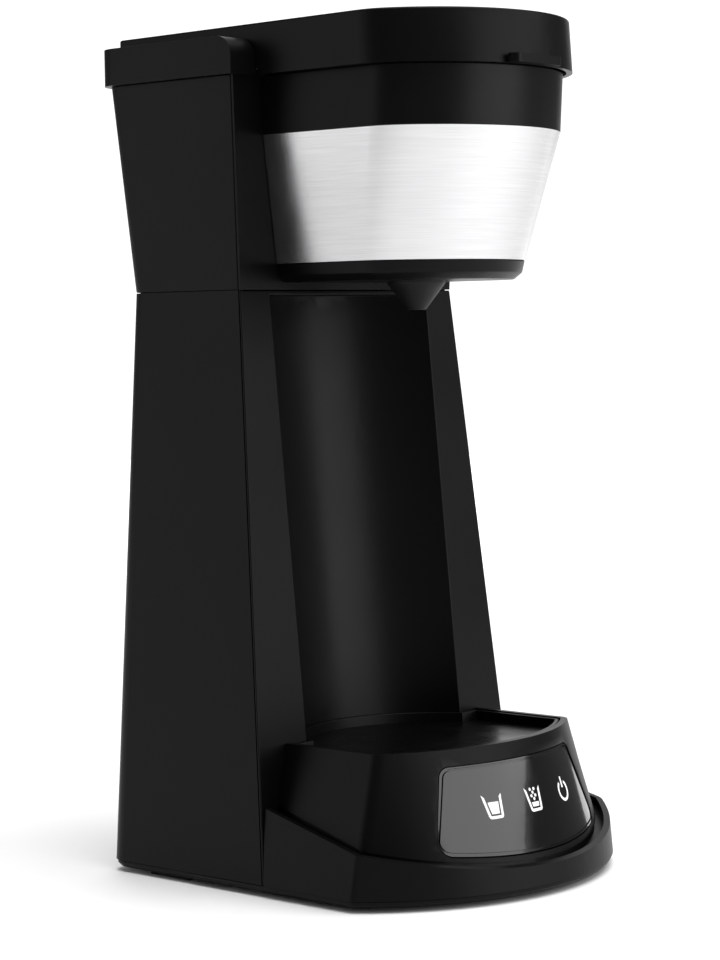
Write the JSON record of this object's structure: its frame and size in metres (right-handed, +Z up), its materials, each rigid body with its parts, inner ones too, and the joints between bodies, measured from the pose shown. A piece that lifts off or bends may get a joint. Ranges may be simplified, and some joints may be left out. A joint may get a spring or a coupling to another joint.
{
  "type": "drip coffee maker",
  "caption": "Compact drip coffee maker: flared tower with a mug channel, overhanging brew head under a hinged lid, steel band, and a base with drip tray and touch panel.",
  "frame": {"origin": "on the table, under the middle of the whole outline", "axes": "+Z up, -Y towards the front, +X towards the right as seen from the front"},
  "size_m": [0.1494, 0.1714, 0.321],
  "materials": {
    "black_plastic": "fine satin moulded plastic",
    "inner_black_plastic": "plain moulded plastic",
    "gloss_black_plastic": "high gloss",
    "brushed_steel": "vertical fine brushing",
    "plated_steel": "bright zinc plated",
    "cast_aluminium": "as cast",
    "silicone": "translucent matte",
    "black_rubber": "matte",
    "white_plastic": "plain moulded plastic",
    "green_board": "solder mask"
  },
  "bodies": {
    "base": {"lower_housing": "black_plastic", "lower_front": "black_plastic", "upper_housing": "black_plastic", "upper_front": "black_plastic", "collar": "black_plastic", "head_body": "black_plastic", "steel_band": "brushed_steel", "head_rim": "black_plastic", "plinth": "black_plastic", "tray_ring": "black_plastic", "control_lens": "gloss_black_plastic", "base_cover": "black_plastic", "foot_pads": "black_rubber", "base_screws": "plated_steel", "reservoir": "inner_black_plastic", "strainer": "white_plastic", "check_valve": "white_plastic", "valve_ball": "plated_steel", "cold_hose": "silicone", "hot_hose": "silicone", "hose_clamps": "plated_steel", "heater": "cast_aluminium", "heater_bracket": "plated_steel", "bracket_screws": "plated_steel", "thermostat": "cast_aluminium", "thermal_fuses": "white_plastic", "hot_spout": "white_plastic", "head_screws": "plated_steel", "control_board": "green_board", "touch_springs": "plated_steel", "indicator_lamps": "white_plastic", "power_board": "green_board", "board_parts": "white_plastic", "board_screws": "plated_steel", "terminal_block": "white_plastic", "cord_inlet": "black_plastic"},
    "lid": {"lid": "black_plastic", "hinge_pins": "plated_steel", "lid_liner": "inner_black_plastic", "liner_screws": "plated_steel", "water_duct": "white_plastic", "shower_plate": "inner_black_plastic", "inlet_seal": "silicone"},
    "basket": {"brew_basket": "inner_black_plastic"},
    "filter": {"filter_frame": "inner_black_plastic", "filter_mesh": "brushed_steel"},
    "tray": {"drip_tray": "black_plastic"},
    "plate": {"tray_plate": "gloss_black_plastic"}
  },
  "joints": [
    {"name": "lid_hinge", "type": "hinge", "parent": "base", "child": "lid", "pos_m": [0, 0.07895, 0.3114], "axis": [-1, 0, 0], "range_deg": [0, 95]},
    {"name": "basket_lift", "type": "slide", "parent": "base", "child": "basket", "axis": [0, 0, 1], "range_m": [0, 0.003]},
    {"name": "filter_lift", "type": "slide", "parent": "basket", "child": "filter", "axis": [0, 0, 1], "range_m": [0, 0.0025]},
    {"name": "tray_lift", "type": "slide", "parent": "base", "child": "tray", "axis": [0, 0, 1], "range_m": [0, 0.06]},
    {"name": "plate_lift", "type": "slide", "parent": "tray", "child": "plate", "axis": [0, 0, 1], "range_m": [0, 0.03]}
  ]
}
